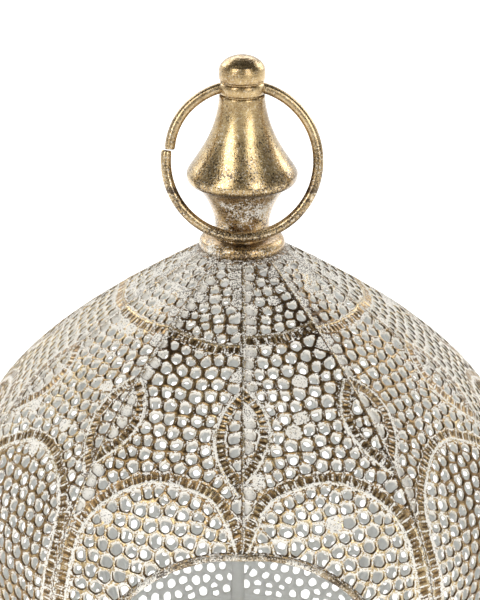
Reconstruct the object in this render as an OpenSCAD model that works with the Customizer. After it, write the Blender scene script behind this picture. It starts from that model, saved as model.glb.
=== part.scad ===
// Moroccan dome lantern: ten pierced sheet gores over a base hoop, an arched window at the front,
// a turned finial on a tie rod, and a lifting ring that swings through the finial's neck.
// Millimetres, +Z up, origin at the centre of the base, front window towards -Y.

/* [Body] */
// Radius of the body at its widest, at the middle of a gore
belly_r = 117.5; // [114:0.5:121]
// Height of the widest level above the surface it stands on
belly_z = 122; // [116:1:126]
// Radius of the hole that the gores leave at the crown
crown_r = 17.2; // [17:0.1:17.6]
// Height of the gores' upper edge
crown_z = 238.2; // [237.8:0.1:238.4]
// Radius of the gores' lower edge, at the middle of a gore
skirt_r = 85.5; // [84:0.5:86]
// Thickness of the sheet
sheet_t = 0.8; // [0.6:0.1:1]
// Distance from the lantern's axis back to the axis that each gore is curved about
gore_setback = 120; // [80:10:200]

/* [Window] */
// Half width of the front window, and the radius of its round head
window_r = 57; // [45:1:57]
// How far the window's sides lean in below its head, in degrees
window_taper = 9; // [4:1:12]
// Height of the top of the window's head
window_top_z = 160; // [150:1:164]
// Height of the sill
window_sill_z = 48; // [40:1:60]
// Width of the wired edge round the window
rim_w = 2.4; // [1.6:0.2:3]
// Thickness of the wired edge
rim_t = 2.4; // [1.8:0.2:3]

/* [Base] */
// Height of the base hoop
hoop_h = 14; // [10:1:16]
// Outer radius of the base hoop
hoop_r = 89; // [89:0.5:92]
// Radial width of the base hoop
hoop_w = 9; // [6:1:12]
// Radius of the half-round bead on the hoop
bead_r = 3; // [2:0.5:4]

/* [Candle holder] */
// Outer radius of the candle cup
cup_r = 24; // [20:1:28]
// Height of the candle cup
cup_h = 18; // [12:1:24]
// Outer radius of the drip pan
pan_r = 40; // [32:1:46]

/* [Finial] */
// Height of the centre of the collar bead
collar_z = 240.9; // [240.5:0.1:241.5]
// Outer radius of the collar bead
collar_r = 17; // [16:0.2:17]
// Radius of the finial at its waist
waist_r = 10.3; // [9:0.1:10.4]
// Radius of the bell's rim
bell_r = 21.8; // [19:0.2:22]
// Radius of the neck that the ring passes through
neck_r = 8.1; // [7.6:0.1:8.4]
// Radius of the flattened ball on top
ball_r = 9; // [8.4:0.1:9.2]
// Height of the ball above its widest level
ball_rise = 6; // [5:0.2:7]

/* [Ring] */
// Radius of the ring along the middle of its wire
ring_r = 29.4; // [28:0.2:30]
// Radius of the wire
wire_r = 2.1; // [1.8:0.1:2.2]
// Forward lean of the ring where it rests on the waist, in degrees
ring_lean = 13.2; // [13:0.2:15]

/* [Hidden] */
$fn = 96;
SOFT_FN = 240;
GORES = 10;
GORE_ANGLE = 360 / GORES;
FRONT = -90;
PROFILE_STEPS = 14;
SEAM_GAP = 0.05;
RIM_LAP = 0.05;
SIDE_INSET = 0.15;
FIT = 0.1;
EPS = 0.01;
FAR = 400;

// The gores' outline at mid gore, as two Bezier curves that meet upright at the belly.
crown_curve = [[crown_r - 0.3, crown_z + 0.6], [belly_r + 7, belly_z + 53.5],
    [belly_r, belly_z + 12], [belly_r, belly_z]];
skirt_curve = [[belly_r, belly_z], [belly_r, belly_z - 45], [skirt_r + 14, hoop_h + 24], [skirt_r, hoop_h]];

// Finial levels.
collar_tube_r = 3.2;
foot_z = collar_z + collar_tube_r;
bell_z = 265.5;
neck_z = 300.5;
pivot_z = 304.4;
ball_z = 310.7;
ball_seat_z = 308.9;
rod_r = 2.5;
bore_r = rod_r + 0.2;
tenon_r = 4.2;
tenon_z = 288;
tenon_bore_top_z = 298;
rod_bottom_z = 229;
rod_top_z = 297.5;
cap_top_z = collar_z - collar_tube_r;
cap_t = 1.2;
washer_t = 1;
nut_h = 4;
nut_af = 8;

// The ring's wire is curved, so the neck's hole is wider than the wire by the curve's rise across the neck.
wire_rise = ring_r - sqrt(ring_r * ring_r - neck_r * neck_r);
pivot_hole_r = wire_r + wire_rise / 2 + 0.25;
ring_gap_angle = 1.2;
ring_joint_angle = 171;

floor_t = 1.2;
pan_t = 0.8;
pan_h = 5;
cup_t = 0.8;
cup_lip = 2;
pan_slope = 3;
rivet_r = 1.5;
rivet_head_r = 2.6;
rivet_head_h = 1.2;
rivet_circle_r = (cup_r + pan_r - pan_slope) / 2;
RIVETS = 3;

NODES = [
    "gore_01", "gore_02", "gore_03", "gore_04", "gore_05",
    "gore_06", "gore_07", "gore_08", "gore_09", "gore_10",
    "window_rim", "base_hoop", "base_bead", "base_floor", "drip_pan", "candle_cup", "pan_rivets",
    "crown_cap", "rod_washer", "rod_nut", "tie_rod",
    "collar_bead", "finial_foot", "finial_bell", "finial_knob", "lifting_ring"
];

function bezier(p, t) =
    pow(1 - t, 3) * p[0] + 3 * pow(1 - t, 2) * t * p[1] + 3 * (1 - t) * t * t * p[2] + pow(t, 3) * p[3];

function bezier_slope(p, t) =
    3 * pow(1 - t, 2) * (p[1] - p[0]) + 6 * (1 - t) * t * (p[2] - p[1]) + 3 * t * t * (p[3] - p[2]);

// The outward normal of a curve that runs from the crown down.
function outward(p, t) = let (d = bezier_slope(p, t)) [-d[1], d[0]] / norm(d);

// The outline moved outwards by a distance; a negative one moves it into the lantern.
function outline(shift) = concat(
    [for (i = [0:PROFILE_STEPS]) let (t = i / PROFILE_STEPS)
        bezier(crown_curve, t) + shift * outward(crown_curve, t)],
    [for (i = [1:PROFILE_STEPS]) let (t = i / PROFILE_STEPS)
        bezier(skirt_curve, t) + shift * outward(skirt_curve, t)]
);

function reversed(list) = [for (i = [len(list) - 1:-1:0]) list[i]];

// A wall between two distances from the outline, curved as a gore about its set-back axis.
// It runs along +X from the lantern's axis, and is wider than the gore.
module curved_wall(outer, inner) {
    half = 15;
    translate([-gore_setback, 0, 0])
        rotate([0, 0, -half])
            rotate_extrude(angle = 2 * half, $fn = SOFT_FN)
                translate([gore_setback, 0])
                    polygon(concat(outline(outer), reversed(outline(inner))));
}

// The sector that one gore fills, with a seam's gap on each side.
module sector(height = FAR) {
    half = GORE_ANGLE / 2;
    start = SEAM_GAP / sin(half);
    translate([start, 0, 0])
        linear_extrude(height)
            polygon([[0, 0], [FAR, FAR * tan(half)], [FAR, -FAR * tan(half)]]);
}

// The round head of the window, grown by a margin, as a space that runs along +X through the wall.
module window_head(margin) {
    translate([0, 0, window_top_z - window_r]) rotate([0, 90, 0]) cylinder(r = window_r + margin, h = FAR);
}

// The space below the window's head. Its sides lean in from just inside the head to the sill.
module window_sides(margin) {
    side_r = window_r + margin - SIDE_INSET;
    head_z = window_top_z - window_r;
    sill = window_sill_z - margin;
    side = [side_r * cos(window_taper), head_z - side_r * sin(window_taper)];
    foot = side[0] - (side[1] - sill) * tan(window_taper);
    rotate([90, 0, 90])
        linear_extrude(FAR)
            polygon([[0, head_z], side, [foot, sill], [-foot, sill], [-side[0], side[1]]]);
}

// Gore number i of GORES, counted from the front seam. The two that meet there have half the window each.
module gore(i) {
    window_side = i == 0 ? -1 : i == GORES - 1 ? 1 : 0;
    to_window = [0, 0, window_side * GORE_ANGLE / 2];
    color([0.86, 0.82, 0.72])
        rotate([0, 0, FRONT + (i + 0.5) * GORE_ANGLE])
            difference() {
                intersection() {
                    curved_wall(0, -sheet_t);
                    sector();
                }
                if (window_side != 0) rotate(to_window) window_head(rim_w);
                if (window_side != 0) rotate(to_window) window_sides(rim_w);
                translate([0, 0, crown_z - 10]) cylinder(r = crown_r, h = 20);
                translate([0, 0, -EPS]) cylinder(r = FAR / 2, h = hoop_h + EPS + SEAM_GAP);
            }
}

// Half of the window's wired edge, on the gore at one side of it.
module rim_half(side) {
    proud = (rim_t - sheet_t) / 2;
    intersection() {
        rotate([0, 0, side * GORE_ANGLE / 2]) curved_wall(proud, -sheet_t - proud);
        translate([0, -side * RIM_LAP, 0]) half_space(side);
        difference() {
            union() {
                window_head(rim_w - SEAM_GAP);
                window_sides(rim_w - SEAM_GAP);
            }
            window_head(0);
            window_sides(0);
        }
    }
}

// Everything at one side of the lantern's middle plane.
module half_space(side) {
    translate([0, side > 0 ? 0 : -FAR, 0]) cube([FAR, FAR, FAR]);
}

// The window's wired edge, in two halves that lap a little at the middle.
module window_rim() {
    color([0.72, 0.58, 0.36])
        rotate([0, 0, FRONT])
            union() {
                rim_half(1);
                rim_half(-1);
            }
}

module base_hoop() {
    color([0.72, 0.58, 0.36])
        difference() {
            cylinder(r = hoop_r, h = hoop_h);
            translate([0, 0, -EPS]) cylinder(r = hoop_r - hoop_w, h = hoop_h + 2 * EPS);
        }
}

module base_bead() {
    color([0.72, 0.58, 0.36])
        rotate_extrude()
            difference() {
                translate([hoop_r, hoop_h / 2]) circle(r = bead_r, $fn = 48);
                square([hoop_r + SEAM_GAP, hoop_h]);
            }
}

// Something at each of the pan's rivets.
module at_rivets() {
    for (i = [0:RIVETS - 1])
        rotate([0, 0, FRONT + 180 + i * 360 / RIVETS]) translate([rivet_circle_r, 0, 0]) children();
}

// The floor lies flush with the hoop's underside.
module base_floor() {
    color([0.8, 0.8, 0.78])
        difference() {
            cylinder(r = hoop_r - hoop_w - FIT, h = floor_t);
            at_rivets() translate([0, 0, -EPS]) cylinder(r = rivet_r + FIT, h = floor_t + 2 * EPS);
        }
}

// A shallow dish with a sloping edge, riveted to the floor.
module drip_pan() {
    flat_r = pan_r - pan_slope;
    top = floor_t + pan_h;
    color([0.75, 0.62, 0.38])
        difference() {
            rotate_extrude()
                polygon([[0, floor_t], [flat_r, floor_t], [pan_r, top],
                    [pan_r - pan_t, top], [flat_r - pan_t / 2, floor_t + pan_t], [0, floor_t + pan_t]]);
            at_rivets() cylinder(r = rivet_r + FIT, h = top);
        }
}

// The cup stands on the pan, with its lip turned out.
module candle_cup() {
    bottom = floor_t + pan_t;
    top = bottom + cup_h;
    color([0.75, 0.62, 0.38])
        rotate_extrude()
            polygon([[0, bottom], [cup_r, bottom], [cup_r, top - cup_lip],
                [cup_r + cup_lip, top], [cup_r + cup_lip - cup_t, top],
                [cup_r - cup_t, top - cup_lip], [cup_r - cup_t, bottom + cup_t], [0, bottom + cup_t]]);
}

// The pan's rivets: flush underneath, with flat heads on top.
module pan_rivets() {
    head_z = floor_t + pan_t;
    color([0.6, 0.6, 0.6])
        at_rivets()
            union() {
                translate([0, 0, SEAM_GAP]) cylinder(r = rivet_r, h = head_z);
                translate([0, 0, head_z]) cylinder(r = rivet_head_r, h = rivet_head_h);
            }
}

// A shallow cone soldered under the gores' upper ends, with a flat middle that the finial bears on.
module crown_cap() {
    rim_r = 27;
    drop = 6.6;
    color([0.8, 0.8, 0.78])
        rotate_extrude()
            polygon([[bore_r, cap_top_z - cap_t], [bore_r, cap_top_z], [crown_r - 1, cap_top_z],
                [rim_r, cap_top_z - drop], [rim_r, cap_top_z - drop - cap_t], [crown_r - 1.6, cap_top_z - cap_t]]);
}

module rod_washer() {
    color([0.6, 0.6, 0.6])
        translate([0, 0, cap_top_z - cap_t - washer_t])
            difference() {
                cylinder(r = 8, h = washer_t);
                translate([0, 0, -EPS]) cylinder(r = bore_r, h = washer_t + 2 * EPS);
            }
}

module rod_nut() {
    color([0.6, 0.6, 0.6])
        translate([0, 0, cap_top_z - cap_t - washer_t - nut_h])
            difference() {
                cylinder(r = nut_af / 2 / cos(30), h = nut_h, $fn = 6);
                translate([0, 0, -EPS]) cylinder(r = rod_r + 0.05, h = nut_h + 2 * EPS);
            }
}

module tie_rod() {
    color([0.6, 0.6, 0.6])
        translate([0, 0, rod_bottom_z]) cylinder(r = rod_r, h = rod_top_z - rod_bottom_z);
}

module collar_bead() {
    core_r = collar_r - collar_tube_r;
    color([0.78, 0.66, 0.42])
        rotate_extrude()
            union() {
                translate([core_r, collar_z]) circle(r = collar_tube_r, $fn = 48);
                translate([bore_r, collar_z - collar_tube_r]) square([core_r - bore_r, 2 * collar_tube_r]);
            }
}

// The waisted foot: a fillet up from the collar, then a concave flare to the bell.
module finial_foot() {
    flare = [[waist_r + 1.2, foot_z], [waist_r - 1, foot_z + 4], [waist_r + 0.8, foot_z + 13], [18.2, bell_z]];
    steps = 12;
    color([0.78, 0.66, 0.42])
        rotate_extrude()
            polygon(concat(
                [[bore_r, bell_z], [bore_r, foot_z]],
                [for (i = [0:steps]) bezier(flare, i / steps)]
            ));
}

// The bell: a rounded rim, then a concave flare that narrows to the neck.
module finial_bell() {
    rim_z = bell_z + 4.1;
    lip = [[18.2, bell_z], [20.6, bell_z + 0.6], [bell_r, rim_z - 2.6], [bell_r, rim_z]];
    flare = [[bell_r, rim_z], [bell_r - 0.3, rim_z + 3.2], [10, rim_z + 13], [neck_r + 0.4, neck_z]];
    steps = 14;
    color([0.78, 0.66, 0.42])
        difference() {
            rotate_extrude()
                polygon(concat(
                    [[bore_r, neck_z], [bore_r, bell_z]],
                    [for (i = [0:steps / 2]) bezier(lip, 2 * i / steps)],
                    [for (i = [1:steps]) bezier(flare, i / steps)]
                ));
            translate([0, 0, tenon_z - FIT]) cylinder(r = tenon_r + FIT, h = FAR / 10);
        }
}

// The neck and ball in one turning, with the cross hole for the ring and a tenon down into the bell.
module finial_knob() {
    steps = 10;
    low = -asin((ball_z - ball_seat_z) / ball_rise);
    color([0.78, 0.66, 0.42])
        difference() {
            union() {
                translate([0, 0, tenon_z]) cylinder(r = tenon_r, h = neck_z - tenon_z + EPS);
                translate([0, 0, neck_z]) cylinder(r = neck_r, h = ball_seat_z - neck_z + EPS);
                rotate_extrude()
                    polygon(concat(
                        [[0, ball_seat_z]],
                        [for (i = [0:steps]) let (a = low + (90 - low) * i / steps)
                            [ball_r * cos(a), ball_z + ball_rise * sin(a)]]
                    ));
            }
            translate([0, 0, tenon_z - EPS]) cylinder(r = rod_r + 0.05, h = tenon_bore_top_z - tenon_z);
            translate([0, 0, pivot_z]) rotate([0, 90, 0]) cylinder(r = pivot_hole_r, h = 4 * neck_r, center = true);
        }
}

// A split ring with a butt joint at one side. It is drawn flat with the pivot at the top of its Y,
// then stood up and leant forward about the pivot.
module lifting_ring() {
    color([0.72, 0.58, 0.36])
        translate([0, 0, pivot_z])
            rotate([-ring_lean, 0, 0])
                translate([0, 0, wire_rise / 2 - ring_r])
                    rotate([90, 0, 0])
                        rotate([0, 0, ring_joint_angle + ring_gap_angle])
                            rotate_extrude(angle = 360 - ring_gap_angle)
                                translate([ring_r, 0]) circle(r = wire_r, $fn = 48);
}

for (i = [0:GORES - 1]) {
    name = NODES[i];
    gore(i);
}
window_rim();
base_hoop();
base_bead();
base_floor();
drip_pan();
candle_cup();
pan_rivets();
crown_cap();
rod_washer();
rod_nut();
tie_rod();
collar_bead();
finial_foot();
finial_bell();
finial_knob();
lifting_ring();
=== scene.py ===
import math
from collections import Counter
from itertools import combinations

import bpy
import numpy as np
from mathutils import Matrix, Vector
from mathutils.geometry import delaunay_2d_cdt


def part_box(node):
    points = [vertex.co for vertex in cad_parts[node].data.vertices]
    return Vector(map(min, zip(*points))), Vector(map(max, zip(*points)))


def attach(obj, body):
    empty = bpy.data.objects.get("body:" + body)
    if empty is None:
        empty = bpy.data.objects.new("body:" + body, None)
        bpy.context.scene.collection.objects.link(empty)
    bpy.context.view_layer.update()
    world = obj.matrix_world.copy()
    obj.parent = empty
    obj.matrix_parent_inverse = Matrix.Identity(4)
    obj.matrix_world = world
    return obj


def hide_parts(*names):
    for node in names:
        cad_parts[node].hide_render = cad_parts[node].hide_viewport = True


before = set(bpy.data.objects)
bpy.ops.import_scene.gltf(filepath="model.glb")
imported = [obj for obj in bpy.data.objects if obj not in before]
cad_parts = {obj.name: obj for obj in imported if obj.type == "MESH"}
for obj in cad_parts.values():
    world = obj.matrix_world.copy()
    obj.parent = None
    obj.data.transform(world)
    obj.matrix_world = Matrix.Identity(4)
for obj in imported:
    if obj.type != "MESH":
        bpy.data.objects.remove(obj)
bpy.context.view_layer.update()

MM = 0.001

# ---------------------------------------------------------------- camera

PITCH = math.radians(22)
DISTANCE = 0.8
AIM = Vector((-0.0008, 0, 0.216))


def make_camera():
    data = bpy.data.cameras.new("camera")
    data.sensor_width = 36
    data.lens = 120
    data.clip_start = 0.05
    data.clip_end = 60
    cam = bpy.data.objects.new("camera", data)
    cam.location = AIM + DISTANCE * Vector((0, -math.cos(PITCH), math.sin(PITCH)))
    cam.rotation_euler = (math.pi / 2 - PITCH, 0, 0)
    bpy.context.scene.collection.objects.link(cam)
    bpy.context.scene.camera = cam


make_camera()
bpy.context.scene.view_settings.view_transform = "Standard"

# ---------------------------------------------------------------- materials


class Graph:
    """A material's nodes, made with few words."""

    def __init__(self, tree):
        self.tree = tree
        tree.nodes.clear()

    def put(self, socket, value):
        if isinstance(value, bpy.types.NodeSocket):
            self.tree.links.new(value, socket)
        else:
            socket.default_value = value

    def node(self, kind, inputs=None, **settings):
        made = self.tree.nodes.new(kind)
        for key, value in settings.items():
            setattr(made, key, value)
        for key, value in (inputs or {}).items():
            self.put(made.inputs[key], value)
        return made

    def math(self, operation, a, b, clamp=False):
        made = self.node("ShaderNodeMath", operation=operation, use_clamp=clamp)
        self.put(made.inputs[0], a)
        self.put(made.inputs[1], b)
        return made.outputs[0]

    def add(self, a, b, clamp=False):
        return self.math("ADD", a, b, clamp)

    def times(self, a, b):
        return self.math("MULTIPLY", a, b)

    def vary(self, value, *noises, clamp=False):
        """A value moved up and down by noises, each given with its gain. The sum may be clamped."""
        for left, (noise, gain) in enumerate(noises, 1 - len(noises)):
            value = self.add(value, self.times(self.math("SUBTRACT", noise, 0.5), gain), clamp and left == 0)
        return value

    def step(self, value, low, high):
        made = self.node("ShaderNodeMapRange", {"Value": value, "From Min": low, "From Max": high},
                         interpolation_type="SMOOTHSTEP")
        return made.outputs["Result"]

    def scale(self, value, low, high):
        made = self.node("ShaderNodeMapRange", {"Value": value, "To Min": low, "To Max": high})
        return made.outputs["Result"]

    def mix(self, factor, a, b, blend="MIX"):
        made = self.node("ShaderNodeMix", data_type="RGBA", blend_type=blend)
        self.put(made.inputs[0], factor)
        self.put(made.inputs[6], a)
        self.put(made.inputs[7], b)
        return made.outputs[2]

    def ramp(self, value, stops):
        """A colour ramp. Each stop is a place and a colour, or a place and a grey level."""
        made = self.node("ShaderNodeValToRGB", {"Fac": value})
        ramp = made.color_ramp
        while len(ramp.elements) < len(stops):
            ramp.elements.new(1.0)
        for element, (place, colour) in zip(ramp.elements, stops):
            element.position = place
            element.color = (*(colour if isinstance(colour, tuple) else [colour] * 3), 1)
        return made.outputs["Color"]

    def noise(self, vector, scale, detail=2.0, roughness=0.5, distortion=0.0):
        made = self.node("ShaderNodeTexNoise",
                         {"Vector": vector, "Scale": scale, "Detail": detail, "Roughness": roughness,
                          "Distortion": distortion})
        return made.outputs["Fac"]

    def attribute(self, name):
        return self.node("ShaderNodeAttribute", attribute_name=name).outputs["Fac"]

    def place(self, stretch=(1, 1, 1)):
        coords = self.node("ShaderNodeTexCoord").outputs["Object"]
        return self.node("ShaderNodeMapping", {"Vector": coords, "Scale": stretch}).outputs["Vector"]

    def finish(self, colour, metallic, roughness, height, bump, reach, coat=0.0):
        normal = self.node("ShaderNodeBump", {"Height": height, "Strength": bump, "Distance": reach})
        shader = self.node("ShaderNodeBsdfPrincipled",
                           {"Base Color": colour, "Metallic": metallic, "Roughness": roughness,
                            "Coat Weight": coat, "Normal": normal.outputs["Normal"]})
        out = self.node("ShaderNodeOutputMaterial")
        self.tree.links.new(shader.outputs[0], out.inputs[0])


def new_material(name):
    material = bpy.data.materials.new(name)
    material.use_nodes = True
    return material, Graph(material.node_tree)


# What each point of a sheet's mesh says: how white, how dark, how brown and how spotted it is,
# and whether it is on the lantern's inside. The white takes in painted highlight and the dark painted shade.
LOOKS = ("wash_and_highlight", "dark", "warm", "speck", "inside")
INSIDE_LOOK = (0.9, 0.0, 0.3, 0.0, 1.0)

GILDING = [(0.0, (0.76, 0.68, 0.50)), (0.3, (0.50, 0.38, 0.20)), (0.6, (0.24, 0.15, 0.06)),
           (1.0, (0.08, 0.045, 0.018))]
CHALK_DULL, CHALK_BRIGHT = (0.80, 0.75, 0.645, 1), (0.905, 0.88, 0.825, 1)
GREY_DULL, GREY_BRIGHT = (0.83, 0.84, 0.82, 1), (0.88, 0.89, 0.875, 1)
EDGE_BROWN_AND_SHADE = (0.095, 0.057, 0.024, 1)
SPECK_GREY = (0.10, 0.085, 0.07, 1)


def sheet_material():
    """Whitewashed, gilded sheet. The mesh says where the wash, the dark edge and the inside are; the wash
    takes in painted highlight and the dark edge painted shade.
    """
    material, g = new_material("washed_pierced_sheet")
    at = g.place()
    fine = g.noise(at, 1900, 3, 0.65)
    blot = g.noise(at, 780, 2, 0.6)
    mid = g.noise(at, 260, 3, 0.6)
    broad = g.noise(at, 34, 2, 0.5)
    wash_and_highlight, dark, warm, speck, inside = (g.attribute(key) for key in LOOKS)

    gold = g.ramp(g.vary(warm, (mid, 0.9), (fine, 0.7), (blot, 0.8), (broad, 0.5), clamp=True), GILDING)
    cover = g.step(g.vary(wash_and_highlight, (fine, 1.3), (blot, 1.4), (mid, 0.6), (broad, 0.35)), 0.42, 0.62)
    colour = g.mix(cover, gold, g.mix(mid, CHALK_DULL, CHALK_BRIGHT))
    # Near-black brown where the mesh says dark: real dark edges, and painted shade on the lower side of
    # holes, in the gaps between ribs and along the laps' steps.
    colour = g.mix(g.step(g.vary(dark, (blot, 0.9)), 0.36, 0.66), colour, EDGE_BROWN_AND_SHADE)
    dots = g.step(g.add(g.noise(at, 1700, 2, 0.5), g.times(speck, 0.13)), 0.65, 0.72)
    colour = g.mix(g.times(dots, 0.85), colour, SPECK_GREY)
    colour = g.mix(inside, colour, g.mix(g.step(mid, 0.3, 0.7), GREY_DULL, GREY_BRIGHT))
    bare = g.times(g.math("SUBTRACT", 1.0, cover), g.math("SUBTRACT", 1.0, inside))
    roughness = g.vary(g.scale(bare, 0.62, 0.3), (fine, 0.3))
    height = g.add(g.times(cover, 0.4), fine)
    g.finish(colour, g.scale(bare, 0.0, 0.85), roughness, height, 0.35, 0.00012)
    return material


# Levels in metres: the bell's lip with its line of painted shadow and grime, and where the crust on the
# finial thins out.
LIP_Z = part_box("finial_bell")[0].z
CRUST_THICK_Z, CRUST_THIN_Z = 0.272, 0.296
RUBBED_WHITE = (0.80, 0.77, 0.70, 1)
CRUST_WHITE = (0.84, 0.80, 0.70, 1)
SPOT_BROWN = (0.055, 0.035, 0.02, 1)
SHADOW_AND_GRIME = (0.05, 0.03, 0.015, 1)


def brass_material(name, pale, deep, wash_level, spot_level, rough):
    """Cast and turned metal, gilded, rubbed with white and spotted dark."""
    material, g = new_material(name)
    at = g.place()
    fine = g.noise(at, 1500, 3, 0.7)
    mid = g.noise(at, 420, 4, 0.65)
    broad = g.noise(at, 55, 3, 0.55, 0.6)
    tone = g.vary(g.add(g.times(mid, 0.75), g.times(fine, 0.35)), (broad, 0.9), clamp=True)
    gold = g.ramp(tone, [(0.25, deep), (0.75, pale)])
    cover = g.step(g.vary(0.0, (broad, 1.6), (fine, 1.5), (mid, 0.8)), wash_level, wash_level + 0.22)
    colour = g.mix(cover, gold, RUBBED_WHITE)

    # White crumbs and dark spots, more of both low down on the finial.
    level = g.node("ShaderNodeSeparateXYZ", {"Vector": at}).outputs["Z"]
    height_up = g.step(level, CRUST_THICK_Z, CRUST_THIN_Z)
    crumbs = g.step(g.noise(at, 1500, 2, 0.55), 0.56, 0.64)
    colour = g.mix(g.times(crumbs, g.scale(height_up, 0.6, 0.28)), colour, CRUST_WHITE)
    dots = g.vary(g.noise(g.place((1.2, 1.2, 1)), 1350, 2, 0.55), (g.noise(at, 90, 3, 0.6, 0.8), 0.6))
    dots = g.step(g.add(dots, g.scale(height_up, 0.07, -0.025)), spot_level, spot_level + 0.05)
    colour = g.mix(g.times(dots, 0.9), colour, SPOT_BROWN)
    # A dark line round the bell's lip: painted shadow under the lip, with some grime.
    over_lip = g.step(level, LIP_Z + 0.0024, LIP_Z + 0.0006)
    lip_shadow_and_grime = g.times(over_lip, g.step(level, LIP_Z - 0.0010, LIP_Z - 0.0004))
    colour = g.mix(g.times(lip_shadow_and_grime, 0.8), colour, SHADOW_AND_GRIME)

    roughness = g.vary(g.scale(cover, rough, rough + 0.22), (fine, 0.25))
    g.finish(colour, g.scale(cover, 0.97, 0.3), roughness, g.add(fine, g.times(mid, 0.6)), 0.38, 0.00016, 0.5)
    return material


def zinc_material(name, colour_a, colour_b, rough, metal):
    """Dull plated or painted steel with faint blooms and scuffs."""
    material, g = new_material(name)
    at = g.place()
    bloom = g.noise(at, 150, 4, 0.6, 1.0)
    fine = g.noise(at, 1700, 3, 0.7)
    scuff = g.step(g.noise(g.place((1, 9, 1)), 240, 3, 0.7), 0.62, 0.7)
    colour = g.mix(g.step(bloom, 0.3, 0.7), (*colour_a, 1), (*colour_b, 1))
    colour = g.mix(g.times(scuff, 0.35), colour, (0.35, 0.34, 0.32, 1))
    roughness = g.add(g.scale(bloom, rough, rough + 0.2), g.times(fine, 0.1))
    g.finish(colour, g.scale(scuff, metal, metal * 0.9), roughness, g.add(fine, bloom), 0.15, 0.0001)
    return material


SHEET = sheet_material()
BRASS = brass_material("antique_brass", (0.62, 0.455, 0.22), (0.19, 0.105, 0.032), 0.40, 0.635, 0.27)
WIRE = brass_material("wired_edge", (0.56, 0.46, 0.31), (0.22, 0.15, 0.07), -0.08, 0.60, 0.5)
RING = brass_material("ring_brass", (0.58, 0.43, 0.23), (0.18, 0.11, 0.04), 0.62, 0.625, 0.26)
WASHED = brass_material("washed_brass", (0.64, 0.46, 0.22), (0.26, 0.145, 0.045), 0.0, 0.62, 0.34)
INNER = zinc_material("inner_sheet", (0.80, 0.80, 0.78), (0.87, 0.87, 0.85), 0.42, 0.12)
ZINC = zinc_material("zinc_hardware", (0.48, 0.49, 0.50), (0.62, 0.63, 0.64), 0.3, 0.9)

# ---------------------------------------------------------------- mesh helpers


def finish_piece(obj, body="lantern", nodes=()):
    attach(obj, body)
    if nodes:
        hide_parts(*nodes)


def mesh_piece(name, points, quads, material, others=(), attributes=None, smooth=True):
    """An object from points in millimetres, quads as an array and other faces as lists."""
    mesh = bpy.data.meshes.new(name)
    points = np.asarray(points, np.float32) * MM
    quads = np.asarray(quads, np.int32).reshape(-1, 4)
    others = [list(f) for f in others]
    corners = np.concatenate([quads.ravel(), np.array([i for f in others for i in f], np.int32)])
    sizes = np.concatenate([np.full(len(quads), 4), np.array([len(f) for f in others], int)]).astype(int)
    starts = np.concatenate([[0], np.cumsum(sizes)[:-1]]).astype(np.int32)
    mesh.vertices.add(len(points))
    mesh.vertices.foreach_set("co", points.ravel())
    mesh.loops.add(len(corners))
    mesh.loops.foreach_set("vertex_index", corners.astype(np.int32))
    mesh.polygons.add(len(starts))
    mesh.polygons.foreach_set("loop_start", starts)
    mesh.update(calc_edges=True)
    mesh.validate()
    if smooth:
        mesh.polygons.foreach_set("use_smooth", np.ones(len(mesh.polygons), bool))
    for key, values in (attributes or {}).items():
        mesh.attributes.new(key, "FLOAT", "POINT").data.foreach_set("value", np.asarray(values, np.float32))
    mesh.materials.append(material)
    obj = bpy.data.objects.new(name, mesh)
    bpy.context.scene.collection.objects.link(obj)
    return obj


class Ripple:
    """A smooth seeded unevenness over angle and height."""

    def __init__(self, seed, size, waves=9):
        rng = np.random.default_rng(seed)
        self.size = size
        self.turns = rng.integers(1, 9, waves)
        self.rise = rng.uniform(-0.35, 0.35, waves)
        self.phase = rng.uniform(0, 2 * math.pi, waves)
        self.gain = rng.uniform(0.3, 1, waves) / waves

    def __call__(self, angle, height):
        total = 0
        for k, f, p, a in zip(self.turns, self.rise, self.phase, self.gain):
            total = total + a * np.sin(k * angle + f * height + p)
        return total * self.size


def grid_quads(rows, cols, wrap_rows=False, wrap_cols=False):
    """The quads of a grid of points numbered row by row. A wrapped side joins its last line to its first."""
    i = np.arange(rows if wrap_rows else rows - 1)[:, None]
    j = np.arange(cols if wrap_cols else cols - 1)[None]
    down, right = (i + 1) % rows, (j + 1) % cols
    quads = [i * cols + j, i * cols + right, down * cols + right, down * cols + j]
    return np.stack(quads, -1).reshape(-1, 4)


def grid_ends(rows, cols, start=0):
    """The first and the last column of such a grid, which are a strip's two ends."""
    first = [start + k * cols for k in range(rows)]
    return first, [k + cols - 1 for k in first]


def distance_along(points):
    return np.concatenate([[0], np.cumsum(np.hypot(*np.diff(points, axis=0).T))])


def lathe(name, profile, material, segments, ripple=None, looks=None):
    """A turned ring from a closed profile of (radius, height)."""
    profile = np.array(profile, float)
    angle = np.linspace(0, 2 * math.pi, segments, endpoint=False)
    r = np.repeat(profile[:, :1], segments, 1)
    z = np.repeat(profile[:, 1:], segments, 1)
    a = np.repeat(angle[None], len(profile), 0)
    if ripple:
        r = np.maximum(r + ripple(a, z) * (r > 1), 0)
    points = np.stack([r * np.cos(a), r * np.sin(a), z], -1).reshape(-1, 3)
    attributes = {key: np.full(len(points), value) for key, value in (looks or {}).items()}
    quads = grid_quads(len(profile), segments, wrap_rows=True, wrap_cols=True)
    return mesh_piece(name, points, quads, material, attributes=attributes)


def rounded(corners, radius, steps=5):
    """A closed outline with its corners rounded. Each corner is (x, y) or (x, y, own radius)."""
    out = []
    n = len(corners)
    for k in range(n):
        here = np.array(corners[k][:2], float)
        before = np.array(corners[k - 1][:2], float) - here
        after = np.array(corners[(k + 1) % n][:2], float) - here
        own = corners[k][2] if len(corners[k]) > 2 else radius
        la, lb = np.linalg.norm(before), np.linalg.norm(after)
        reach = min(own, 0.45 * la, 0.45 * lb)
        if reach < 1e-3:
            out.append(here)
            continue
        p, q = here + before / la * reach, here + after / lb * reach
        for t in np.linspace(0, 1, steps):
            out.append((1 - t) ** 2 * p + 2 * t * (1 - t) * here + t * t * q)
    return out


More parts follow.
